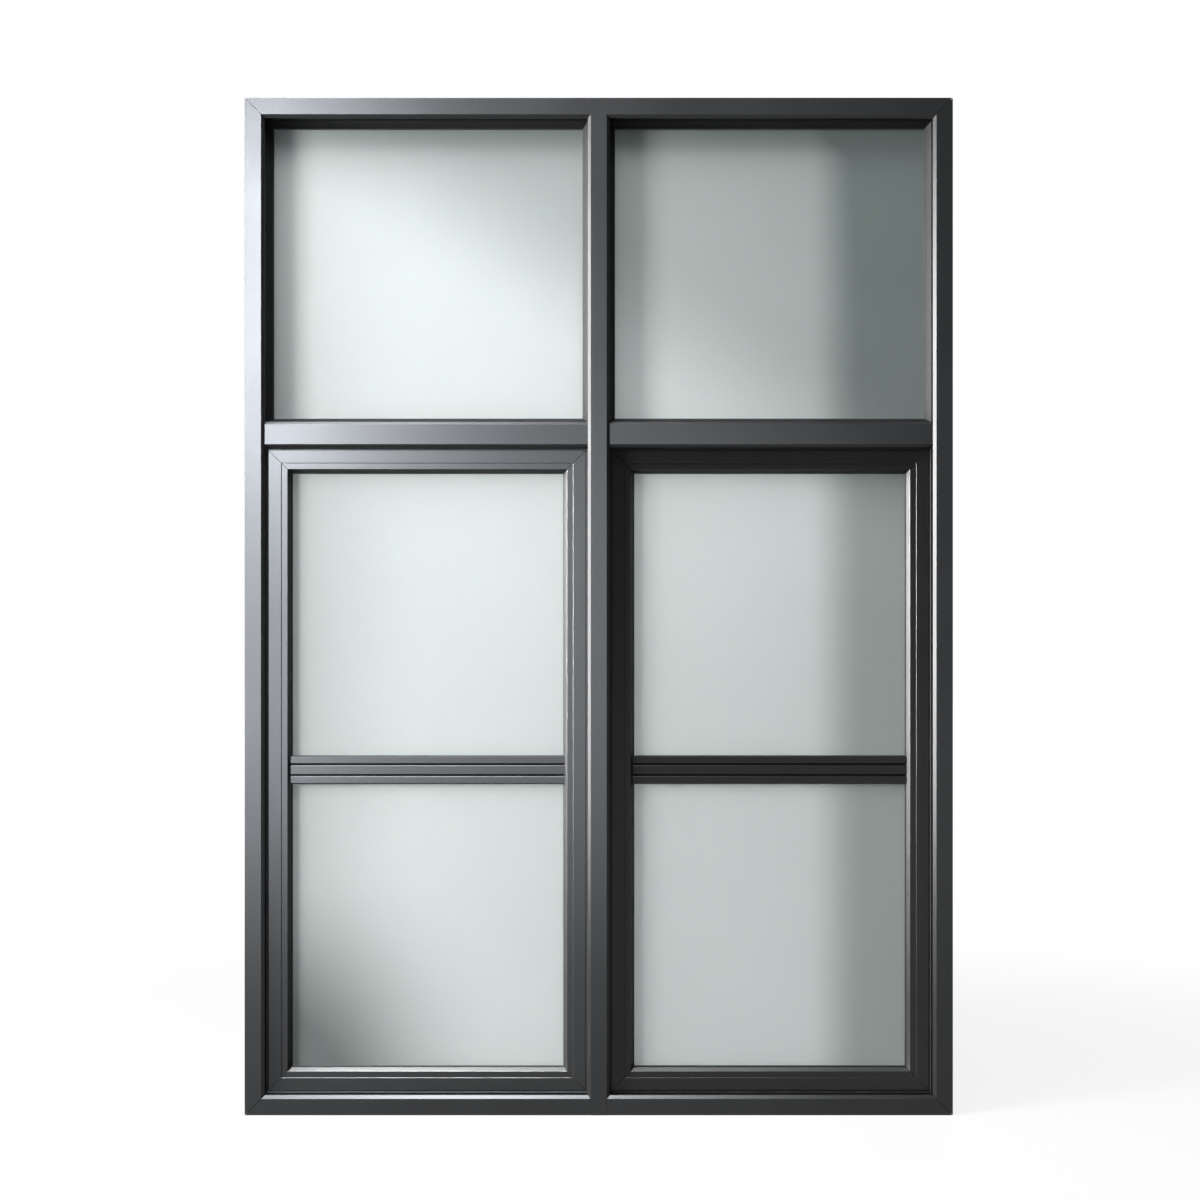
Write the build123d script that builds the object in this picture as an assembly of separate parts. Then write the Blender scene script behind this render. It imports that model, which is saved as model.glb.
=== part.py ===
from build123d import *
import os

os.makedirs("parts", exist_ok=True)

# Millimetres. X runs right, Z up, and the outside of the window faces -Y.
# The origin is on the bottom face of the sill, at mid width and mid depth.

# Overall size
frame_width = 1420.0
frame_height = 2040.0
frame_depth = 75.0

# Fixed frame: face, sloped edge, and the lip that the sashes close against
frame_face = 33.0
edge_slope = 6.0
lip_back = 22.0
lip_step = 8.0
mullion_face = 32.0
transom_face = 40.0
transom_setback = 6.0
transom_height = 1366.0
profile_wall = 2.0
arris = 0.8
mitre_gap = 0.8
butt_gap = 0.3

# Sash, measured inward from the lip of the fixed frame
sash_play = 4.0
sash_front = 24.0
sash_band = 26.0
bead_band = 12.0
band_step = 3.0
bead_slope = 6.0
bead_slope_back = 37.0
sash_lip_back = 40.0
glazing_wall = 18.0
sash_overlap = 8.0
flange_front = 78.0
sash_back = 84.0

# Seals between sash and frame
seal_tail = 2.0
seal_lip = 1.0
seal_bulge = 1.5

# Middle rail of each sash
rail_height = 54.0
rail_front = 35.0
rail_stem = 18.0
groove_width = 6.0
groove_depth = 3.0
groove_offset = 11.0

# Glazing: two panes with a spacer between, bedded on gaskets
pane = 4.0
unit_depth = 24.0
gasket = 3.0
glass_play = 4.0
spacer_cover = 2.0
spacer_width = 7.0
gasket_sight = 2.0
gasket_width = 14.0
bead_width = 18.0
inner_gasket_width = 14.0
inner_gasket_slope = 1.0

# Fixed top lights: a sloped liner in front of the glass and a flat bead behind it
liner_width = 9.0
liner_back = 45.0
liner_slope_back = 42.0
light_unit_depth = 20.0
light_bead_depth = 8.0
light_bead_slope = 2.0
light_gasket_width = 12.0
liner_play = 2.0

# Hinges on the inside of the jambs
hinge_radius = 7.0
hinge_height = 100.0
hinge_inset = 14.0
hinge_pin_back = 86.0
hinge_plate = 4.0
hinge_sash_reach = 48.0
hinge_from_end = 190.0
hinge_gap = 0.6
hinge_edge = 3.0

# Handles on the inside of the meeting stiles
handle_base_width = 28.0
handle_base_height = 70.0
handle_base_depth = 10.0
handle_reach = 42.0
handle_width = 18.0
handle_thickness = 10.0
handle_drop = 118.0
handle_neck = 18.0
handle_taper = 1.0

# Derived sizes
frame_lip = frame_face + edge_slope
frame_rebate = frame_lip - lip_step
mullion_lip = mullion_face / 2 + edge_slope
transom_lip = transom_face / 2 + edge_slope
sash_edge = sash_play - lip_step
band_end = sash_play + sash_band
bead_end = band_end + bead_band
sash_lip = bead_end + bead_slope
sash_step = sash_front + band_step
flange_edge = -lip_step - sash_overlap
glass_front = sash_lip_back + gasket
glass_back = glass_front + unit_depth
light_front = liner_back + gasket
light_back = light_front + light_unit_depth
far = 2 * frame_height


class Opening:
    """An upright rectangle in the plane of the window, with its four sides."""

    turns = {"bottom": 0, "top": 180, "left": 90, "right": -90}

    def __init__(self, left, right, bottom, top):
        self.left = left
        self.right = right
        self.bottom = bottom
        self.top = top

    def inset(self, amount):
        """The same rectangle with every side moved inward."""
        return Opening(self.left + amount, self.right - amount, self.bottom + amount, self.top - amount)

    def length(self, side):
        """Length of one side."""
        if side in ("top", "bottom"):
            return self.right - self.left
        return self.top - self.bottom

    def place(self, side, solid):
        """Put a bar that was made along X onto one side, facing inward."""
        middle_x = (self.left + self.right) / 2
        middle_z = (self.bottom + self.top) / 2
        spots = {
            "bottom": (middle_x, self.bottom),
            "top": (middle_x, self.top),
            "left": (self.left, middle_z),
            "right": (self.right, middle_z),
        }
        x, z = spots[side]
        return Pos(x, 0, z) * Rot(0, self.turns[side], 0) * solid


def outline(corners):
    """Closed section from its corners; a third value rounds that corner."""
    face = make_face(Polyline(*[corner[:2] for corner in corners], close=True))
    for corner in corners:
        if len(corner) == 3:
            point = face.vertices().sort_by_distance((corner[0], corner[1], 0))[0]
            face = fillet(point, corner[2])
    return face


def envelope(corners):
    """Solid section with square corners, grown by the gap of a butt joint."""
    return offset(outline([corner[:2] for corner in corners]), butt_gap)


def hollow(corners, low, high, depths):
    """Section with chambers between low and high, one between each two webs at the given depths."""
    section = outline(corners)
    for front, back in zip(depths, depths[1:]):
        size = (high - low - 2 * profile_wall, back - front - profile_wall)
        section -= Pos((low + high) / 2, (front + back) / 2) * Rectangle(*size)
    return section


def bar(section, length):
    """Straight bar along X from a section drawn as inward distance and depth."""
    start = Plane(origin=(length / 2, -frame_depth / 2, 0), x_dir=(0, 0, 1), z_dir=(-1, 0, 0))
    return extrude(start * section, length)


def mitred(section, length, gap):
    """Bar whose two ends are cut at 45 degrees, with half the joint gap taken off each."""
    half = length / 2 - gap / 2**0.5
    high = length / 2 - 1
    low = -2 * frame_lip
    edges = [(-half + low, low), (half - low, low), (half - high, high), (high - half, high)]
    wedge = extrude(Plane.XZ * make_face(Polyline(*edges, close=True)), far, both=True)
    return bar(section, length - 2 * low) & wedge


def surround(section, opening, gap=mitre_gap):
    """Four mitred bars round an opening, by side."""
    bars = {}
    for side in Opening.turns:
        bars[side] = opening.place(side, mitred(section, opening.length(side), gap))
    return bars


def ring(section, opening):
    """One unbroken strip round an opening, with square corners."""
    bars = list(surround(section, opening, 0).values())
    return bars[0] + bars[1:]


def group(shapes):
    """Several like solids as one piece for export."""
    return Compound(children=[solid for shape in shapes for solid in shape.solids()])


def upright(section, bottom, top):
    """Vertical bar at mid width, from a section drawn as X and depth."""
    start = Plane(origin=(0, -frame_depth / 2, bottom), x_dir=(1, 0, 0), z_dir=(0, 0, 1))
    return extrude(start * section, top - bottom)


def frame_corners():
    """Section of head, sill and jambs, from the outer edge inward."""
    return [
        (0, 0, arris),
        (frame_face, 0, arris),
        (frame_lip, edge_slope, arris),
        (frame_lip, lip_back),
        (frame_rebate, lip_back),
        (frame_rebate, frame_depth, arris),
        (0, frame_depth, arris),
    ]


def post_corners(face, lip, front):
    """Section of mullion or transom, about its own middle."""
    stem = lip - lip_step
    half = [(face / 2, front, arris), (lip, front + edge_slope, arris), (lip, lip_back)]
    half += [(stem, lip_back), (stem, frame_depth, arris)]
    return half + [(-corner[0], *corner[1:]) for corner in reversed(half)]


def sash_corners():
    """Section of a sash rail or stile, inward from the frame lip."""
    return [
        (sash_edge, sash_step),
        (sash_play, sash_step),
        (sash_play, sash_front, arris),
        (band_end, sash_front, arris),
        (band_end, sash_step),
        (bead_end, sash_step, arris),
        (sash_lip, bead_slope_back, arris),
        (sash_lip, sash_lip_back),
        (glazing_wall, sash_lip_back),
        (glazing_wall, sash_back),
        (flange_edge, sash_back, 2 * arris),
        (flange_edge, flange_front),
        (sash_edge, flange_front),
    ]


def frame_bars():
    """The four bars of the fixed frame, the mullion and the left transom."""
    whole = Opening(-frame_width / 2, frame_width / 2, 0, frame_height)
    web = profile_wall / 2
    depths = (lip_back - web, 2 * lip_back, frame_depth - web)
    section = hollow(frame_corners(), 0, frame_rebate, (web, *depths))
    bars = surround(section, whole)
    shells = surround(envelope(frame_corners()), whole, 0)

    # The mullion is coped under the head; its face runs down through the front of the sill
    post = post_corners(mullion_face, mullion_lip, 0)
    stem = mullion_lip - lip_step
    mullion = upright(hollow(post, -stem, stem, (web, *depths)), 0, frame_height) - shells["top"]
    foot_depth = lip_back - profile_wall
    foot = Pos(0, (foot_depth - frame_depth) / 2, 0) * Box(far, foot_depth, 4 * frame_lip)
    mullion -= shells["bottom"] - foot
    notch = upright(envelope(post), -frame_lip, frame_lip + 1) & foot
    bars["bottom"] -= notch

    # The transom is coped between the jamb and the mullion
    beam = post_corners(transom_face, transom_lip, transom_setback)
    post_shell = upright(envelope(post), 0, frame_height)
    stem = transom_lip - lip_step
    section = hollow(beam, -stem, stem, (transom_setback + web, *depths))
    transom = Pos(-frame_width / 4, 0, transom_height) * bar(section, frame_width / 2)
    transom -= shells["left"] + post_shell
    return bars, mullion, transom


def glass_unit(opening, front, back, edge):
    """Two panes with the air space between them."""
    rest = opening.inset(edge)
    panes = []
    for depth in (front, back - pane):
        y = depth + pane / 2 - frame_depth / 2
        width = rest.right - rest.left
        height = rest.top - rest.bottom
        middle = Pos((rest.left + rest.right) / 2, y, (rest.bottom + rest.top) / 2)
        panes.append(middle * Box(width, pane, height))
    return panes


def spacer_ring(opening, front, back, edge):
    """Bar that holds the two panes apart, just inside their edges."""
    near = front + pane
    deep = back - pane
    start = edge + spacer_cover
    corners = [(start, near), (start + spacer_width, near), (start + spacer_width, deep), (start, deep)]
    return ring(outline(corners), opening)


def outer_gasket(sight, front):
    """Wedge gasket in front of the glass, measured outward from the visible glass."""
    corners = [
        (0, front),
        (-gasket_sight / 2, front - gasket / 3),
        (-gasket_sight, front - gasket),
        (-gasket_width, front - gasket),
        (-gasket_width, front),
    ]
    return ring(outline(corners), sight)


def inner_gasket(opening, edge, back, width):
    """Flat gasket between the glass and the bead."""
    foot = edge + width - inner_gasket_slope
    corners = [(edge, back), (edge + width, back), (foot, back + gasket), (edge, back + gasket)]
    return ring(outline(corners), opening)


def top_light(opening):
    """Fixed light above the transom: liner, glass, gaskets, spacer and beads."""
    edge = -lip_step
    liner = [
        (edge + liner_play, lip_back),
        (0, lip_back),
        (liner_width, liner_slope_back, arris),
        (liner_width, liner_back),
        (edge + liner_play, liner_back),
    ]
    bead_front = light_back + gasket
    bead_back = bead_front + light_bead_depth
    bead = [
        (edge, bead_front),
        (liner_width, bead_front),
        (liner_width - light_bead_slope, bead_back, arris),
        (edge, bead_back),
    ]
    sight = opening.inset(liner_width + gasket_sight)
    glass_edge = edge + glass_play
    return {
        "top_light_liner": group(surround(outline(liner), opening).values()),
        "top_light_glass": group(glass_unit(opening, light_front, light_back, glass_edge)),
        "top_light_spacer": spacer_ring(opening, light_front, light_back, glass_edge),
        "top_light_gaskets": group(
            [
                outer_gasket(sight, light_front),
                inner_gasket(opening, glass_edge, light_back, light_gasket_width),
            ]
        ),
        "top_light_beads": group(surround(outline(bead), opening).values()),
    }


def mid_rail(opening, middle):
    """Grooved rail across the sash, coped to both stiles."""
    half = rail_height / 2
    stem = rail_stem / 2
    face = [(half, rail_front, arris)]
    for offset_up in (groove_offset, -groove_offset):
        face += [
            (offset_up + groove_width / 2, rail_front),
            (offset_up, rail_front + groove_depth),
            (offset_up - groove_width / 2, rail_front),
        ]
    face += [
        (-half, rail_front, arris),
        (-half, sash_lip_back),
        (-stem, sash_lip_back),
        (-stem, sash_back),
        (stem, sash_back),
        (stem, sash_lip_back),
        (half, sash_lip_back),
    ]
    chamber_depth = sash_back - sash_lip_back - profile_wall
    chamber = Pos(0, sash_lip_back + chamber_depth / 2) * Rectangle(rail_stem - 2 * profile_wall, chamber_depth)
    width = opening.right - opening.left
    rail = Pos((opening.left + opening.right) / 2, 0, middle) * bar(outline(face) - chamber, width)
    stiles = surround(envelope(sash_corners()), opening, 0)
    return rail - (stiles["left"] + stiles["right"])


def sash(opening):
    """Side-hung sash below the transom, without its hinges and handle."""
    web = profile_wall / 2
    depths = (sash_step + web, sash_lip_back - web, (sash_lip_back + sash_back) / 2, sash_back - web)
    bars = surround(hollow(sash_corners(), sash_edge, glazing_wall, depths), opening)
    middle = (opening.bottom + opening.top) / 2
    stem = rail_stem / 2
    glazing = opening.inset(glazing_wall)
    rebates = [
        Opening(glazing.left, glazing.right, middle + stem, glazing.top),
        Opening(glazing.left, glazing.right, glazing.bottom, middle - stem),
    ]
    clear = opening.inset(sash_lip + gasket_sight)
    near_rail = rail_height / 2 + gasket_sight
    sights = [
        Opening(clear.left, clear.right, middle + near_rail, clear.top),
        Opening(clear.left, clear.right, clear.bottom, middle - near_rail),
    ]
    bead = [
        (0, glass_back + gasket),
        (bead_width, glass_back + gasket),
        (bead_width, glass_back + 3 * gasket, 2 * arris),
        (bead_width / 2, sash_back, 2 * arris),
        (0, sash_back),
    ]
    panes = []
    spacers = []
    gaskets = []
    beads = []
    for rebate, sight in zip(rebates, sights):
        panes += glass_unit(rebate, glass_front, glass_back, glass_play)
        spacers.append(spacer_ring(rebate, glass_front, glass_back, glass_play))
        gaskets.append(outer_gasket(sight, glass_front))
        gaskets.append(inner_gasket(rebate, glass_play, glass_back, inner_gasket_width))
        beads += surround(outline(bead), rebate).values()
    seal_root = sash_edge - seal_tail
    seal_nose = seal_lip + seal_bulge
    outer_seal = [
        (seal_root, lip_back),
        (seal_lip, lip_back),
        (seal_nose, (lip_back + sash_step) / 2, arris),
        (seal_lip, sash_step),
        (seal_root, sash_step),
    ]
    inner_seal = [
        (flange_edge + seal_lip, frame_depth),
        (-lip_step - seal_bulge, frame_depth),
        (-lip_step - seal_bulge, flange_front),
        (flange_edge + seal_lip, flange_front),
    ]
    return {
        "sash_top_rail": bars["top"],
        "sash_bottom_rail": bars["bottom"],
        "sash_hinge_stile": bars["left"],
        "sash_lock_stile": bars["right"],
        "sash_mid_rail": mid_rail(opening, middle),
        "sash_glass": group(panes),
        "sash_spacers": group(spacers),
        "sash_gaskets": group(gaskets),
        "sash_beads": group(beads),
        "sash_seals": group([ring(outline(outer_seal), opening), ring(outline(inner_seal), opening)]),
    }


def hinge_leaf(outer, inner, front, back):
    """Half a hinge: a round knuckle on the pin, and a flat leaf beside it."""
    height = (hinge_height - hinge_gap) / 2
    knuckle = extrude(Circle(hinge_radius), height)
    knuckle = chamfer(knuckle.edges().group_by(Axis.Z)[0], hinge_radius / 4)
    leaf = Pos((outer + inner) / 2, (front + back) / 2, height / 2) * Box(inner - outer, back - front, height)
    return knuckle + leaf


def hinges(opening):
    """Frame and sash halves of the hinges on the left jamb."""
    pin_x = hinge_inset - frame_width / 2
    pin_y = hinge_pin_back - frame_depth / 2
    face = frame_depth - hinge_pin_back
    frame_half = hinge_leaf(hinge_edge - hinge_inset, hinge_radius / 2, face, face + hinge_plate)
    frame_half += Pos(0, face / 2, hinge_height / 4) * Box(hinge_radius, -face, (hinge_height - hinge_gap) / 2)
    shut = sash_back - hinge_pin_back
    sash_half = hinge_leaf(0, hinge_sash_reach - hinge_inset, shut, shut + hinge_plate)
    frame_leaves = []
    sash_leaves = []
    for z in (opening.bottom + hinge_from_end, opening.top - hinge_from_end):
        frame_leaves.append(Pos(pin_x, pin_y, z - hinge_height / 2) * frame_half)
        sash_leaves.append(Pos(pin_x, pin_y, z + hinge_height / 2) * mirror(sash_half, about=Plane.XY))
    return {"hinge_frame_leaves": group(frame_leaves), "hinge_sash_leaves": group(sash_leaves)}


def handle(opening):
    """Lever handle and its base on the inner face of the meeting stile."""
    x = opening.right - (flange_edge + glazing_wall) / 2
    y = sash_back - frame_depth / 2
    z = (opening.bottom + opening.top) / 2
    seat = Plane(origin=(x, y, z), x_dir=(1, 0, 0), z_dir=(0, 1, 0))
    plate = RectangleRounded(handle_base_width, handle_base_height, handle_base_width / 4)
    base = extrude(seat * plate, handle_base_depth)
    base = chamfer(base.faces().sort_by(Axis.Y)[-1].edges(), 2 * arris)

    # Side view of the lever: neck out from the base, then a bend and a long grip
    grip = handle_reach - handle_thickness
    half = handle_neck / 2
    side = outline(
        [
            (handle_base_depth, half),
            (handle_reach, half, half),
            (handle_reach, -handle_drop, handle_thickness / 3),
            (grip + handle_taper, -handle_drop, handle_thickness / 3),
            (grip, -half, half / 2),
            (handle_base_depth, -half),
        ]
    )
    view = Plane(origin=(x, y, z), x_dir=(0, 1, 0), z_dir=(1, 0, 0))
    lever = extrude(view * side, handle_width / 2, both=True)
    rims = lever.faces().filter_by(Axis.X).edges()
    lever = chamfer(rims.filter_by(lambda edge: edge.center().Y > y + grip), 2 * arris)
    return {"handle_base": base, "handle_lever": lever}


# The left half is built, and the right half is its mirror image
bars, mullion, transom = frame_bars()
bay_left = frame_lip - frame_width / 2
light_opening = Opening(bay_left, -mullion_lip, transom_height + transom_lip, frame_height - frame_lip)
sash_opening = Opening(bay_left, -mullion_lip, frame_lip, transom_height - transom_lip)

nodes = {
    "frame_head": bars["top"],
    "frame_sill": bars["bottom"],
    "frame_jamb_left": bars["left"],
    "frame_jamb_right": bars["right"],
    "mullion": mullion,
}
pairs = {"transom": transom}
pairs.update(top_light(light_opening))
pairs.update(sash(sash_opening))
pairs.update(hinges(sash_opening))
pairs.update(handle(sash_opening))
for name, shape in pairs.items():
    nodes[name + "_left"] = shape
    nodes[name + "_right"] = mirror(shape, about=Plane.YZ)

for name, shape in nodes.items():
    export_step(shape, "parts/" + name + ".step")
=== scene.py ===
"""Dresses, lights and frames the casement window with fixed top lights."""

import logging
import math
from dataclasses import dataclass
from enum import Enum
from typing import Any

import bmesh
import bpy
from mathutils import Matrix, Vector


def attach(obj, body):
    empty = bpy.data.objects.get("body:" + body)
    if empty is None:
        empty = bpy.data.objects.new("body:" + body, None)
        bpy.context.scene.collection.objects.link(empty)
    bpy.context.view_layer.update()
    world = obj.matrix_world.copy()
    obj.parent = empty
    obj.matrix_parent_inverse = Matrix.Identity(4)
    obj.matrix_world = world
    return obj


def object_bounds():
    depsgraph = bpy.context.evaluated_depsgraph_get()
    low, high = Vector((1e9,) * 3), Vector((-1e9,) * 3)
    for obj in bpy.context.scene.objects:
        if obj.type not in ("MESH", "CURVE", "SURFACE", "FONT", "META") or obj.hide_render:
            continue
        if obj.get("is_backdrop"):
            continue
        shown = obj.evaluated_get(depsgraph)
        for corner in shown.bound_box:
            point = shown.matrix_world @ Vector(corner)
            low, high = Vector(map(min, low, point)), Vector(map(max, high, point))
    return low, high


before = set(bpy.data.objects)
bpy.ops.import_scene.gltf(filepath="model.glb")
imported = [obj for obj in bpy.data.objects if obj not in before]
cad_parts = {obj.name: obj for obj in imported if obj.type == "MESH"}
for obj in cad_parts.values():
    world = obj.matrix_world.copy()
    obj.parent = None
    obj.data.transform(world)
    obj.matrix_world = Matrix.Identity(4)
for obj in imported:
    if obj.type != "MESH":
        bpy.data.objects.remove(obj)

log = logging.getLogger("casement_window")

Colour = tuple[float, float, float]
Point = tuple[float, float, float]
Span = tuple[float, float]
Names = tuple[str, ...]

WHITE = (1.0, 1.0, 1.0, 1.0)
NOISE_MIDDLE = 0.5
MIX_FIRST = 6
MIX_SECOND = 7
MIX_RESULT = 2
SHARP_ANGLE = math.radians(35)
INSIDE = Vector((0.0, 1.0, 0.0))
UP = Vector((0.0, 0.0, 1.0))


class Side(Enum):
    """The two halves of the window, by the sign of X."""

    LEFT = -1
    RIGHT = 1

    @property
    def word(self) -> str:
        """Ending of the node names on this side."""
        return self.name.lower()


class Reach(Enum):
    """What a softbox lights. All but the first show only as a reflection."""

    ALL = "everything"
    SHEEN = "the sheen of everything"
    OFF_GLASS = "the sheen of everything but the panes and the right sash"
    LEFT_EDGES = "the sheen of the liners and of the stiles whose inner edges face left"
    UPPER_EDGES = "the sheen of the rails whose inner edges face up"


class Value:
    """A shader socket that takes part in Python arithmetic."""

    def __init__(self, shader: "Shader", socket: bpy.types.NodeSocket) -> None:
        """Wrap one output socket.

        Args:
            shader: The material being written.
            socket: The output that carries the value.
        """
        self.shader = shader
        self.socket = socket

    def _math(self, operation: str, *terms: "Value | float") -> "Value":
        """Add one Math node.

        Args:
            operation: The Math node's operation.
            terms: Its inputs in order, as values or numbers.

        Returns:
            The node's result.
        """
        inputs = dict(enumerate(terms))
        return self.shader.node("ShaderNodeMath", {"operation": operation}, inputs)

    def __add__(self, other: "Value | float") -> "Value":
        """Sum."""
        return self._math("ADD", self, other)

    __radd__ = __add__

    def __sub__(self, other: "Value | float") -> "Value":
        """Difference."""
        return self._math("SUBTRACT", self, other)

    def __rsub__(self, other: "Value | float") -> "Value":
        """Difference with this value on the right."""
        return self._math("SUBTRACT", other, self)

    def __mul__(self, other: "Value | float") -> "Value":
        """Product."""
        return self._math("MULTIPLY", self, other)

    __rmul__ = __mul__

    def larger(self, other: "Value | float") -> "Value":
        """The larger of two values."""
        return self._math("MAXIMUM", self, other)

    def size(self) -> "Value":
        """The value without its sign."""
        return self._math("ABSOLUTE", self)

    def swing(self, share: float) -> "Value":
        """The swing of a noise about its middle, times a share."""
        return (self - NOISE_MIDDLE) * share

    def ramp(self, low: float, high: float) -> "Value":
        """Smooth step.

        Args:
            low: Where the step starts, at 0.
            high: Where it ends, at 1.

        Returns:
            The step.
        """
        settings = {"interpolation_type": "SMOOTHSTEP"}
        inputs = {"Value": self, "From Min": low, "From Max": high}
        return self.shader.node("ShaderNodeMapRange", settings, inputs)


def rgba(colour: "Colour | Value") -> Any:
    """A colour with full alpha, or a link as it is."""
    return colour if isinstance(colour, Value) else (*colour, 1.0)


@dataclass(frozen=True)
class Fade:
    """A change of tone along one axis: where it starts and ends, in metres, and its share."""

    low: float
    high: float
    share: float = 1.0

    def rise(self, along: Value) -> Value:
        """The tone that comes in along the axis."""
        return along.ramp(self.low, self.high) * self.share

    def fall(self, along: Value) -> Value:
        """The tone that dies away along the axis."""
        return (1.0 - along.ramp(self.low, self.high)) * self.share


class Shader:
    """Writes the nodes of one material or world."""

    def __init__(self, tree: bpy.types.NodeTree) -> None:
        """Clear the tree.

        Args:
            tree: The node tree to fill.
        """
        self.tree = tree
        self.tree.nodes.clear()

    def node(
        self,
        kind: str,
        settings: dict[str, Any] | None = None,
        inputs: dict[Any, Any] | None = None,
        output: int | str = 0,
    ) -> Value:
        """Add one node.

        Args:
            kind: The node's type.
            settings: Properties that are set before the sockets.
            inputs: Values or links by socket name or index.
            output: The socket to hand back.

        Returns:
            The wrapped output.
        """
        made = self.tree.nodes.new(kind)
        for name, setting in (settings or {}).items():
            setattr(made, name, setting)
        for name, given in (inputs or {}).items():
            if isinstance(given, Value):
                self.tree.links.new(given.socket, made.inputs[name])
            else:
                made.inputs[name].default_value = given
        return Value(self, made.outputs[output])

    def place(self) -> Value:
        """Object coordinates in metres."""
        return self.node("ShaderNodeTexCoord", output="Object")

    def axes(self) -> tuple[Value, Value, Value]:
        """Split the object coordinates.

        Returns:
            X, Y and Z in metres.
        """
        split = self.node("ShaderNodeSeparateXYZ", {}, {0: self.place()})
        x, y, z = (Value(self, output) for output in split.socket.node.outputs)
        return x, y, z

    def rays(self) -> tuple[Value, Value]:
        """Which rays look at a backdrop.

        Returns:
            1 for rays from the camera or through glass, and 1 for rays off a gloss.
        """
        path = self.node("ShaderNodeLightPath").socket.node.outputs
        camera, glass, gloss = (
            Value(self, path[f"Is {kind} Ray"]) for kind in ("Camera", "Transmission", "Glossy")
        )
        return camera.larger(glass), gloss

    def noise(self, scale: float, detail: float = 2.0, stretch: Point = (1.0, 1.0, 1.0)) -> Value:
        """Noise over the object coordinates.

        Args:
            scale: Cells per metre.
            detail: Octaves.
            stretch: Scale of each axis.

        Returns:
            The noise, from 0 to 1.
        """
        scaled = self.node("ShaderNodeMapping", {}, {"Vector": self.place(), "Scale": stretch})
        inputs = {"Vector": scaled, "Scale": scale, "Detail": detail}
        return self.node("ShaderNodeTexNoise", {}, inputs)

    def blend(self, factor: Value, first: "Colour | Value", second: "Colour | Value") -> Value:
        """Mix two colours by the share of the second."""
        inputs = {"Factor": factor, MIX_FIRST: rgba(first), MIX_SECOND: rgba(second)}
        return self.node("ShaderNodeMix", {"data_type": "RGBA"}, inputs, MIX_RESULT)

    def bump(self, height: Value, strength: float, depth: float) -> Value:
        """Normal bent by a height from 0 to 1, by its strength and its depth in metres."""
        inputs = {"Strength": strength, "Distance": depth, "Height": height}
        return self.node("ShaderNodeBump", {}, inputs, "Normal")

    def principled(self, inputs: dict[str, Any]) -> Value:
        """Add a surface."""
        return self.node("ShaderNodeBsdfPrincipled", {}, inputs)

    def matt(self, colour: "Colour | Value") -> Value:
        """Add a surface without any gloss."""
        return self.principled({"Base Color": rgba(colour), "Roughness": 1.0, "Specular IOR Level": 0.0})

    def mix(self, factor: Value, first: Value, second: Value) -> Value:
        """Mix two surfaces by the share of the second."""
        return self.node("ShaderNodeMixShader", {}, {0: factor, 1: first, 2: second})

    def close(self, shader: Value, kind: str = "ShaderNodeOutputMaterial") -> None:
        """Join a finished shader to a new output node."""
        end = self.tree.nodes.new(kind)
        self.tree.links.new(shader.socket, end.inputs[0])


@dataclass(frozen=True)
class Finish:
    """A surface finish that makes one material."""

    name: str

    def write(self, shader: Shader) -> None:
        """Write the finish's nodes."""
        raise NotImplementedError

    def material(self) -> bpy.types.Material:
        """The finish's material, made once.

        Returns:
            The material.
        """
        known = bpy.data.materials.get(self.name)
        if known:
            return known
        made = bpy.data.materials.new(self.name)
        made.use_nodes = True
        self.write(Shader(made.node_tree))
        return made


@dataclass(frozen=True)
class PowderCoat(Finish):
    """Satin powder coat with a fine peel, with painted shade mixed in over the depth of the reveals.

    The depths over which the painted shade comes in and clears again count from the front of the window,
    and the rim from its outer edges.
    """

    dark: Colour = (0.0105, 0.0110, 0.0114)
    pale: Colour = (0.0155, 0.0163, 0.0168)
    # Painted shade in the reveals: this dark matt colour is mixed in at the share and over the depths set
    # below.
    grime: Colour = (0.0035, 0.0036, 0.0038)
    roughness: float = 0.31
    gloss: float = 0.3
    cloud_per_metre: float = 5.0
    cloud_detail: float = 3.0
    cloud_tone: float = 0.7
    cloud_roughness: float = 0.07
    peel_per_metre: float = 700.0
    peel_detail: float = 1.5
    peel_roughness: float = 0.05
    peel_strength: float = 0.1
    peel_depth: float = 0.00004
    speck_per_metre: float = 2600.0
    speck_detail: float = 0.0
    speck_over: Span = (0.55, 0.8)
    speck_tone: float = 0.5
    dullness: float = 0.85
    dulls_over: Span = (0.009, 0.019)
    clears_over: Span = (0.0525, 0.0675)
    rim: Span = (-0.03, -0.01)

    def dull_share(self, shader: Shader) -> Value:
        """Share of painted shade, a dark matt coat, over the coat.

        Args:
            shader: The material being written.

        Returns:
            The share of painted shade in the depth of the reveals, and 0 on the front, back and outer
            sides.
        """
        low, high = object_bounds()
        half_width = (high.x - low.x) / 2
        half_height = (high.z - low.z) / 2
        x, y, z = shader.axes()
        depth = y - low.y
        outside = (x.size() - half_width).larger((z - half_height).size() - half_height)
        reveal = depth.ramp(*self.dulls_over) * (1.0 - depth.ramp(*self.clears_over))
        return reveal * (1.0 - outside.ramp(*self.rim)) * self.dullness

    def write(self, shader: Shader) -> None:
        """Write the coat's nodes.

        Args:
            shader: The material being written.
        """
        cloud = shader.noise(self.cloud_per_metre, self.cloud_detail)
        peel = shader.noise(self.peel_per_metre, self.peel_detail)
        speck = shader.noise(self.speck_per_metre, self.speck_detail).ramp(*self.speck_over)
        tone = cloud * self.cloud_tone + speck * self.speck_tone
        satin = shader.principled(
            {
                "Base Color": shader.blend(tone, self.dark, self.pale),
                "Roughness": (
                    self.roughness + cloud.swing(self.cloud_roughness) + peel.swing(self.peel_roughness)
                ),
                "Specular IOR Level": self.gloss,
                "Normal": shader.bump(peel, self.peel_strength, self.peel_depth),
            }
        )
        # Painted shade: a dark matt coat is mixed in over the depth of the reveals.
        shader.close(shader.mix(self.dull_share(shader), satin, shader.matt(self.grime)))


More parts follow.
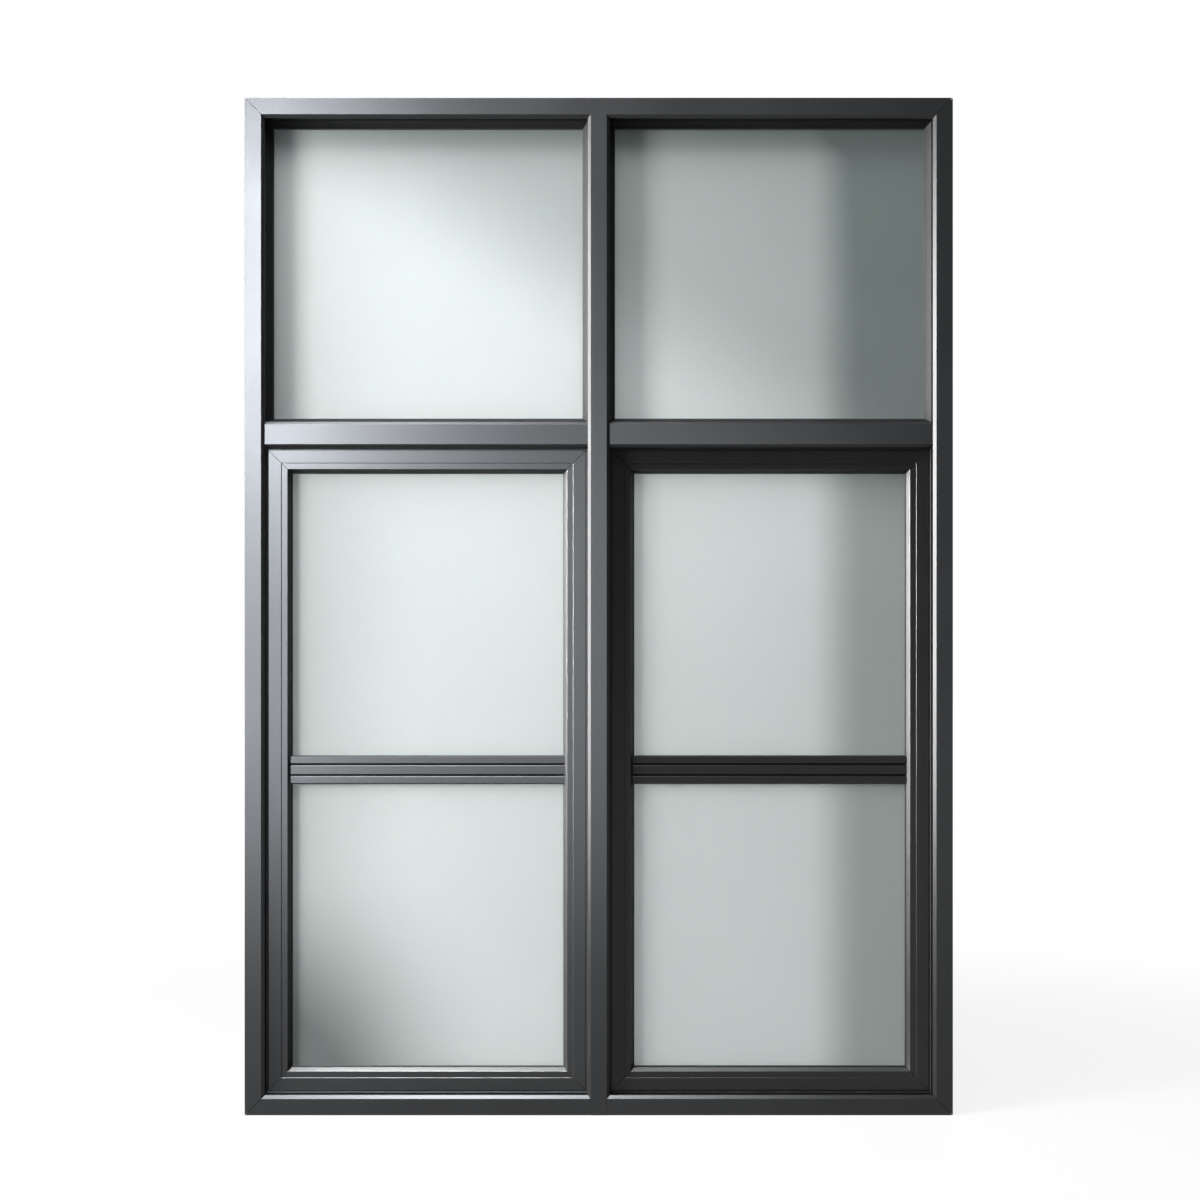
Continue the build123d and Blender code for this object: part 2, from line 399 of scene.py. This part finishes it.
@dataclass(frozen=True)
class PaneGlass(Finish):
    """Pale glass with a soft milky veil and painted shade: deeper in tone towards its sides, its top and
    its left foot, with bands of painted shade under the head and beside the left jamb.
    """

    # Tone where no shade is painted, and the tone of the painted shade.
    bright: Colour = (0.90, 0.945, 0.937)
    deep: Colour = (0.30, 0.35, 0.34)
    roughness: float = 0.22
    veil: float = 0.4
    refraction: float = 1.5
    tone: float = 0.03
    cloud_per_metre: float = 1.3
    cloud_detail: float = 0.0
    cloud_tone: float = 0.2
    cloud_roughness: float = 0.05
    # Painted shade: where the glass darkens across, along a slant, at the top, at the left and at the left
    # foot.
    right_drift: Fade = Fade(-0.25, 0.5, 0.08)
    right_band: Fade = Fade(0.42, 0.54, 0.48)
    slant: Fade = Fade(1.48, 1.82, 0.36)
    slant_per_metre: float = 0.6
    top_drift: Fade = Fade(1.6, 2.0, 0.08)
    top_band: Fade = Fade(1.93, 1.985, 0.3)
    left_drift: Fade = Fade(-0.68, -0.34)
    left_tone: float = 0.38
    left_loss_per_metre: float = 0.14
    left_band: Fade = Fade(-0.656, -0.624, 0.15)
    foot_up: Fade = Fade(-0.05, 0.5)
    foot_across: Fade = Fade(-0.66, -0.2, 1.15)

    def write(self, shader: Shader) -> None:
        """Write the glass's nodes.

        Args:
            shader: The material being written.
        """
        x, _, z = shader.axes()
        cloud = shader.noise(self.cloud_per_metre, self.cloud_detail)
        # Sum of the painted shade over the pane.
        right = self.right_drift.rise(x) + self.right_band.rise(x)
        slant = self.slant.rise(z + x * self.slant_per_metre)
        top = self.top_drift.rise(z) + self.top_band.rise(z)
        left_tone = self.left_tone - z * self.left_loss_per_metre
        left = self.left_drift.fall(x) * left_tone + self.left_band.fall(x)
        foot = self.foot_up.fall(z) * self.foot_across.fall(x)
        shade = right + slant + top + left + foot + cloud.swing(self.cloud_tone) + self.tone
        glass = shader.principled(
            {
                "Base Color": shader.blend(shade, self.bright, self.deep),
                "Roughness": self.roughness + cloud.swing(self.cloud_roughness),
                "IOR": self.refraction,
                "Transmission Weight": 1.0 - self.veil,
            }
        )
        shader.close(glass)


@dataclass(frozen=True)
class Rubber(Finish):
    """Matt black rubber with a dusty grain."""

    dark: Colour = (0.006, 0.006, 0.006)
    dusty: Colour = (0.020, 0.020, 0.020)
    roughness: float = 0.62
    gloss: float = 0.3
    grain_per_metre: float = 1400.0
    grain_roughness: float = 0.15
    grain_strength: float = 0.3
    grain_depth: float = 0.00005
    dust_per_metre: float = 22.0
    dust_detail: float = 3.0
    dust_over: Span = (0.45, 0.8)

    def write(self, shader: Shader) -> None:
        """Write the rubber's nodes.

        Args:
            shader: The material being written.
        """
        grain = shader.noise(self.grain_per_metre)
        dust = shader.noise(self.dust_per_metre, self.dust_detail).ramp(*self.dust_over)
        rubber = shader.principled(
            {
                "Base Color": shader.blend(dust, self.dark, self.dusty),
                "Roughness": self.roughness + grain.swing(self.grain_roughness),
                "Specular IOR Level": self.gloss,
                "Normal": shader.bump(grain, self.grain_strength, self.grain_depth),
            }
        )
        shader.close(rubber)


@dataclass(frozen=True)
class RolledMetal(Finish):
    """Dull metal with fine rolling lines."""

    dark: Colour = (0.22, 0.225, 0.23)
    pale: Colour = (0.36, 0.365, 0.37)
    roughness: float = 0.42
    lines_per_metre: float = 60.0
    lines_detail: float = 3.0
    lines_stretch: Point = (1.0, 40.0, 1.0)
    lines_roughness: float = 0.2

    def write(self, shader: Shader) -> None:
        """Write the metal's nodes.

        Args:
            shader: The material being written.
        """
        lines = shader.noise(self.lines_per_metre, self.lines_detail, self.lines_stretch)
        metal = shader.principled(
            {
                "Base Color": shader.blend(lines, self.dark, self.pale),
                "Metallic": 1.0,
                "Roughness": self.roughness + lines.swing(self.lines_roughness),
            }
        )
        shader.close(metal)


@dataclass(frozen=True)
class SatinBlack(Finish):
    """Satin black coat of the hinges and handles, a little worn by hands."""

    dark: Colour = (0.012, 0.012, 0.0125)
    rubbed: Colour = (0.026, 0.026, 0.027)
    roughness: float = 0.33
    cloud_per_metre: float = 60.0
    cloud_detail: float = 3.0
    cloud_roughness: float = 0.2
    rubbed_over: Span = (0.35, 0.75)
    grain_per_metre: float = 1600.0
    grain_detail: float = 1.0
    grain_strength: float = 0.25
    grain_depth: float = 0.00003

    def write(self, shader: Shader) -> None:
        """Write the coat's nodes.

        Args:
            shader: The material being written.
        """
        cloud = shader.noise(self.cloud_per_metre, self.cloud_detail)
        grain = shader.noise(self.grain_per_metre, self.grain_detail)
        coat = shader.principled(
            {
                "Base Color": shader.blend(cloud.ramp(*self.rubbed_over), self.dark, self.rubbed),
                "Roughness": self.roughness + cloud.swing(self.cloud_roughness),
                "Normal": shader.bump(grain, self.grain_strength, self.grain_depth),
            }
        )
        shader.close(coat)


@dataclass(frozen=True)
class PaleFloor(Finish):
    """Pale studio floor that reads as white and keeps the shadow."""

    dim: Colour = (0.15, 0.15, 0.15)
    colour: Colour = (0.60, 0.60, 0.60)
    mottled: Colour = (0.618, 0.618, 0.618)
    mottle_per_metre: float = 3.0
    lift: float = 0.78
    glow: float = 1.08
    near: float = 1.2
    far: float = 3.5

    def write(self, shader: Shader) -> None:
        """Write the floor's nodes.

        Args:
            shader: The material being written.
        """
        seen, gloss = shader.rays()
        pale = shader.blend(shader.noise(self.mottle_per_metre), self.colour, self.mottled)
        matt = shader.matt(shader.blend(seen, self.dim, pale))
        glow = shader.node("ShaderNodeEmission", {}, {"Color": WHITE, "Strength": self.glow})
        away = shader.node("ShaderNodeVectorMath", {"operation": "LENGTH"}, {0: shader.place()}, "Value")
        lift = self.lift + away.ramp(self.near, self.far) * (1.0 - self.lift)
        shader.close(shader.mix(seen.larger(gloss) * lift, matt, glow))


COAT = PowderCoat("anthracite_powder_coat")
# The sash coat's painted recess shade lies over other depths, and the liner coat's is at a smaller share.
SASH_COAT = PowderCoat("anthracite_sash_coat", dulls_over=(0.036, 0.0395))
FINE_COAT = PowderCoat("fine_texture_coat", roughness=0.46, gloss=0.42, dullness=0.7)
GLASS = PaneGlass("pale_pane_glass")
RUBBER = Rubber("black_rubber_gasket")
SPACER = RolledMetal("rolled_spacer_metal")
HARDWARE = SatinBlack("satin_black_hardware")
SCREW = RolledMetal("blackened_screw_steel", (0.07, 0.07, 0.072), (0.13, 0.13, 0.132), 0.34)
FLOOR = PaleFloor("pale_studio_floor")


def node_box(node: str) -> tuple[Vector, Vector]:
    """Box of a carried-over node.

    Args:
        node: The node's name.

    Returns:
        Its low and high corner, in metres.
    """
    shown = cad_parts[node]
    corners = [shown.matrix_world @ Vector(corner) for corner in shown.bound_box]
    low = Vector(min(corner[axis] for corner in corners) for axis in range(3))
    high = Vector(max(corner[axis] for corner in corners) for axis in range(3))
    return low, high


def dress(node: str, finish: Finish) -> None:
    """Give a carried-over node its finish.

    Args:
        node: The node's name.
        finish: The finish to assign.
    """
    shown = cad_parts[node]
    shown.data.materials.clear()
    shown.data.materials.append(finish.material())
    log.info("dressed %s as %s", node, finish.name)


def add_piece(name: str, mesh: bmesh.types.BMesh, finish: Finish) -> None:
    """Turn a finished bmesh into a piece of the hardware.

    Args:
        name: The piece's name.
        mesh: The bmesh, which is freed.
        finish: The piece's finish.
    """
    bmesh.ops.recalc_face_normals(mesh, faces=mesh.faces)
    data = bpy.data.meshes.new(name)
    mesh.to_mesh(data)
    mesh.free()
    data.shade_smooth()
    data.set_sharp_from_angle(angle=SHARP_ANGLE)
    data.materials.append(finish.material())
    piece = bpy.data.objects.new(name, data)
    bpy.context.scene.collection.objects.link(piece)
    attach(piece, "root")
    log.info("built %s with %d faces", name, len(data.polygons))


@dataclass
class FixedFrame:
    """Head, sill, jambs, mullion and transoms."""

    bars: Names = (
        "frame_head",
        "frame_sill",
        "frame_jamb_left",
        "frame_jamb_right",
        "mullion",
        "transom_left",
        "transom_right",
    )

    def dress(self) -> None:
        """Coat every bar."""
        for bar in self.bars:
            dress(bar, COAT)


@dataclass
class TopLight:
    """Fixed light over a transom."""

    side: Side

    def dress(self) -> None:
        """Finish the light's pieces."""
        finishes = {"liner": FINE_COAT, "beads": COAT, "glass": GLASS, "spacer": SPACER, "gaskets": RUBBER}
        for piece, finish in finishes.items():
            dress(f"top_light_{piece}_{self.side.word}", finish)


@dataclass
class Sash:
    """Side-hung sash with a grooved middle rail."""

    side: Side
    bars: Names = ("top_rail", "bottom_rail", "hinge_stile", "lock_stile", "mid_rail", "beads")

    def dress(self) -> None:
        """Finish the sash's pieces."""
        for bar in self.bars:
            dress(f"sash_{bar}_{self.side.word}", SASH_COAT)
        finishes = {"glass": GLASS, "spacers": SPACER, "gaskets": RUBBER, "seals": RUBBER}
        for piece, finish in finishes.items():
            dress(f"sash_{piece}_{self.side.word}", finish)


@dataclass(frozen=True)
class Button:
    """A low round head: radius, height and the width of its rounded rim, in metres."""

    radius: float
    height: float
    rim: float
    taper: float = 0.92
    segments: int = 36
    rim_segments: int = 3

    def add(self, mesh: bmesh.types.BMesh, place: Vector, way: Vector) -> bmesh.types.BMFace:
        """Add the head to a mesh.

        Args:
            mesh: The mesh.
            place: Middle of the head's foot.
            way: Direction that the head faces.

        Returns:
            The flat face on top.
        """
        turn = way.to_track_quat("Z", "Y").to_matrix().to_4x4()
        made = bmesh.ops.create_cone(
            mesh,
            cap_ends=True,
            segments=self.segments,
            radius1=self.radius,
            radius2=self.radius * self.taper,
            depth=self.height,
            matrix=Matrix.Translation(place + way * self.height / 2) @ turn,
        )
        faces = {face for vert in made["verts"] for face in vert.link_faces}
        top = self.upper_cap(faces, way)
        bmesh.ops.bevel(
            mesh,
            geom=list(top.edges),
            offset=self.rim,
            segments=self.rim_segments,
            profile=0.5,
            affect="EDGES",
            material=-1,
        )
        near = {face for face in mesh.faces if (face.calc_center_median() - place).length < self.radius}
        return self.upper_cap(near, way)

    def upper_cap(self, faces: set[bmesh.types.BMFace], way: Vector) -> bmesh.types.BMFace:
        """Find the round flat face on top.

        Args:
            faces: The faces to choose from.
            way: Direction that the head faces.

        Returns:
            The face that lies furthest along the direction.
        """
        caps = [face for face in faces if len(face.verts) == self.segments]
        return max(caps, key=lambda face: face.calc_center_median().dot(way))


@dataclass(frozen=True)
class Screw:
    """Round-headed screw with a six-lobed drive."""

    head: Button = Button(0.0042, 0.0016, 0.0006)
    drive: float = 0.0019
    drive_depth: float = 0.0009
    drive_wall: float = 0.00005
    lobes: int = 6
    lobe_share: float = 0.16

    def add(self, mesh: bmesh.types.BMesh, place: Vector, way: Vector) -> None:
        """Add the screw to a mesh.

        Args:
            mesh: The mesh.
            place: Middle of the head's foot.
            way: Direction that the head faces.
        """
        top = self.head.add(mesh, place, way)
        reach = max((vert.co - top.calc_center_median()).length for vert in top.verts)
        bmesh.ops.inset_region(mesh, faces=[top], thickness=reach - self.drive)
        middle = top.calc_center_median()
        for step, vert in enumerate(top.verts):
            angle = 2 * math.pi * step / len(top.verts)
            vert.co = middle + (vert.co - middle) * (1 + self.lobe_share * math.cos(self.lobes * angle))
        bmesh.ops.inset_region(mesh, faces=[top], thickness=self.drive_wall, depth=-self.drive_depth)


@dataclass
class Hinges:
    """Hinges between a jamb and its sash."""

    side: Side
    screw: Screw = Screw()
    cap: Button = Button(0.0048, 0.0018, 0.0011)
    knuckle: float = 0.007
    height: float = 0.1
    leaf_drop: float = 0.005
    screw_spread: float = 0.024
    screw_inset: float = 0.010

    def dress(self) -> None:
        """Coat the leaves, and add their screws and pin caps."""
        dress("hinge_frame_leaves_" + self.side.word, HARDWARE)
        dress("hinge_sash_leaves_" + self.side.word, HARDWARE)
        self.screws()
        self.caps()

    def screws(self) -> None:
        """Two screws through each sash leaf."""
        low, high = node_box("hinge_sash_leaves_" + self.side.word)
        free_edge = high.x if self.side is Side.LEFT else low.x
        x = free_edge + self.side.value * self.screw_inset
        y = high.y - self.leaf_drop
        mesh = bmesh.new()
        for middle in (low.z + self.height / 4, high.z - self.height / 4):
            for step in (-0.5, 0.5):
                self.screw.add(mesh, Vector((x, y, middle + step * self.screw_spread)), INSIDE)
        add_piece("hinge_screws_" + self.side.word, mesh, SCREW)

    def caps(self) -> None:
        """A domed cap on both ends of each pin."""
        low, high = node_box("hinge_frame_leaves_" + self.side.word)
        near_jamb = high.x if self.side is Side.LEFT else low.x
        x = near_jamb + self.side.value * self.knuckle
        y = high.y - self.knuckle
        mesh = bmesh.new()
        for middle in (low.z + self.height / 2, high.z):
            for way in (UP, -UP):
                self.cap.add(mesh, Vector((x, y, middle)) + way * self.height / 2, way)
        add_piece("hinge_pin_caps_" + self.side.word, mesh, HARDWARE)


@dataclass
class Handle:
    """Lever handle on a lock stile."""

    side: Side
    screw: Screw = Screw()
    collar: Button = Button(0.0136, 0.003, 0.0012, 0.95)
    screw_spread: float = 0.050

    def dress(self) -> None:
        """Coat the base and lever, and add the collar and screws."""
        dress("handle_base_" + self.side.word, HARDWARE)
        dress("handle_lever_" + self.side.word, HARDWARE)
        low, high = node_box("handle_base_" + self.side.word)
        seat = Vector(((low.x + high.x) / 2, high.y, (low.z + high.z) / 2))
        mesh = bmesh.new()
        self.collar.add(mesh, seat, INSIDE)
        add_piece("handle_collar_" + self.side.word, mesh, HARDWARE)
        mesh = bmesh.new()
        for step in (-0.5, 0.5):
            self.screw.add(mesh, seat + UP * step * self.screw_spread, INSIDE)
        add_piece("handle_screws_" + self.side.word, mesh, SCREW)


@dataclass(frozen=True)
class Softbox:
    """A rectangular softbox: place, aim, width and height in metres, watts and what it lights."""

    name: str
    place: Point
    aim: Point
    size: Span
    power: float
    reach: Reach = Reach.ALL


SOFTBOXES = (
    Softbox("sheen_softbox", (-1.4, -3.3, 2.36), (-0.6, 0.0, 1.5), (0.45, 1.5), 265.0, Reach.OFF_GLASS),
    Softbox("fade_softbox", (-1.45, -3.3, 0.96), (-0.6, 0.0, 1.0), (0.6, 1.6), 95.0, Reach.OFF_GLASS),
    Softbox("front_softbox", (-0.1, -3.45, 0.98), (0.0, 0.0, 1.0), (1.7, 1.9), 58.0, Reach.OFF_GLASS),
    Softbox("crown_softbox", (-0.75, -0.65, 3.6), (-0.6, -0.5, 0.0), (1.3, 1.1), 300.0, Reach.OFF_GLASS),
    Softbox("edge_softbox", (-2.6, -0.5, 1.45), (0.0, -0.1, 1.2), (0.8, 2.4), 330.0, Reach.SHEEN),
    Softbox("rim_softbox", (-2.6, -0.25, 1.5), (0.0, 0.0, 1.3), (0.5, 2.0), 2300.0, Reach.LEFT_EDGES),
    Softbox("ledge_softbox", (-0.75, -0.4, 3.6), (-0.5, -0.1, 0.1), (1.3, 0.6), 1500.0, Reach.UPPER_EDGES),
    Softbox("side_softbox", (-3.0, -1.6, 1.9), (0.0, 0.0, 1.1), (0.9, 1.6), 180.0),
    Softbox("top_softbox", (-0.4, -0.8, 3.6), (0.0, -0.1, 1.0), (2.0, 0.9), 70.0),
    Softbox("rear_softbox", (1.6, 3.2, 2.8), (0.0, 0.0, 1.0), (2.0, 2.0), 50.0),
)


@dataclass
class Studio:
    """Floor, light and camera."""

    boxes: tuple[Softbox, ...] = SOFTBOXES
    left_edges: Names = (
        "top_light_liner_left",
        "top_light_liner_right",
        "sash_lock_stile_left",
        "sash_hinge_stile_right",
    )
    upper_edges: Names = ("sash_bottom_rail_left", "sash_bottom_rail_right")
    sheen_tint: Colour = (0.88, 0.93, 1.0)
    picture_width: float = 2.4053
    picture_middle: Span = (0.0025, 1.033)
    camera_distance: float = 3.3
    camera_shift: float = 0.03
    sensor: float = 36.0
    floor_size: float = 40.0
    ambient: float = 0.12
    backdrop_edge: float = 0.3

    def floor(self) -> None:
        """Lay the pale floor."""
        mesh = bmesh.new()
        bmesh.ops.create_grid(mesh, x_segments=1, y_segments=1, size=self.floor_size / 2)
        data = bpy.data.meshes.new("studio_floor")
        mesh.to_mesh(data)
        mesh.free()
        data.materials.append(FLOOR.material())
        floor = bpy.data.objects.new("studio_floor", data)
        bpy.context.scene.collection.objects.link(floor)
        floor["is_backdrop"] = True

    def softbox(self, box: Softbox) -> None:
        """Hang one rectangular softbox.

        Args:
            box: The softbox's place, strength and reach.
        """
        lamp = bpy.data.lights.new(box.name, "AREA")
        lamp.shape = "RECTANGLE"
        lamp.size, lamp.size_y = box.size
        lamp.energy = box.power
        light = bpy.data.objects.new(box.name, lamp)
        light.location = box.place
        light.rotation_euler = (Vector(box.aim) - Vector(box.place)).to_track_quat("-Z", "Y").to_euler()
        light.visible_camera = False
        light.visible_transmission = False
        light.visible_diffuse = box.reach is Reach.ALL
        bpy.context.scene.collection.objects.link(light)
        if box.reach is Reach.OFF_GLASS:
            lamp.color = self.sheen_tint
            self.limit(light, self.spared(), "EXCLUDE")
        elif box.reach is Reach.LEFT_EDGES:
            self.limit(light, self.left_edges, "INCLUDE")
        elif box.reach is Reach.UPPER_EDGES:
            self.limit(light, self.upper_edges, "INCLUDE")

    def spared(self) -> Names:
        """Pieces that stay out of the front sheen.

        Returns:
            The nodes of the panes and of the right sash.
        """
        panes = {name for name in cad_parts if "_glass_" in name}
        sashes = {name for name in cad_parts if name.startswith("sash_")}
        return tuple(panes | {name for name in sashes if name.endswith(Side.RIGHT.word)})

    def limit(self, light: bpy.types.Object, pieces: Names, state: str) -> None:
        """Set which pieces one light reaches.

        Args:
            light: The light.
            pieces: The nodes that are listed.
            state: INCLUDE to light only the listed nodes, and EXCLUDE to light all the others.
        """
        listed = bpy.data.collections.new(light.name + "_reach")
        for piece in pieces:
            listed.objects.link(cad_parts[piece])
        light.light_linking.receiver_collection = listed
        for member in listed.collection_objects:
            member.light_linking.link_state = state

    def world(self) -> None:
        """White to the eye, through glass and as a backdrop in reflections; dim in front and as a light."""
        made = bpy.data.worlds.new("studio_air")
        made.use_nodes = True
        shader = Shader(made.node_tree)
        seen, gloss = shader.rays()
        _, behind, _ = shader.axes()
        seen = seen.larger(gloss * behind.ramp(0.0, self.backdrop_edge))
        strength = self.ambient + seen * (1.0 - self.ambient)
        air = shader.node("ShaderNodeBackground", {}, {"Color": WHITE, "Strength": strength})
        shader.close(air, "ShaderNodeOutputWorld")
        bpy.context.scene.world = made

    def camera(self) -> None:
        """Place the camera square to the window, as in the picture."""
        lens = bpy.data.cameras.new("camera")
        lens.sensor_width = self.sensor
        lens.lens = self.sensor * self.camera_distance / self.picture_width
        lens.shift_y = self.camera_shift
        camera = bpy.data.objects.new("camera", lens)
        x, z = self.picture_middle
        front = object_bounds()[0].y
        camera.location = (x, front - self.camera_distance, z - self.camera_shift * self.picture_width)
        camera.rotation_euler = (math.radians(90), 0.0, 0.0)
        bpy.context.scene.collection.objects.link(camera)
        bpy.context.scene.camera = camera

    def build(self) -> None:
        """Set up the studio."""
        bpy.context.scene.view_settings.view_transform = "Standard"
        self.floor()
        self.world()
        for box in self.boxes:
            self.softbox(box)
        self.camera()


def main() -> None:
    """Build and dress the window, piece by piece."""
    logging.basicConfig(level=logging.INFO, format="%(name)s: %(message)s")
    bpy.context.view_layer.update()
    FixedFrame().dress()
    for side in Side:
        TopLight(side).dress()
        Sash(side).dress()
        Hinges(side).dress()
        Handle(side).dress()
    Studio().build()


if __name__ == "__main__":
    main()
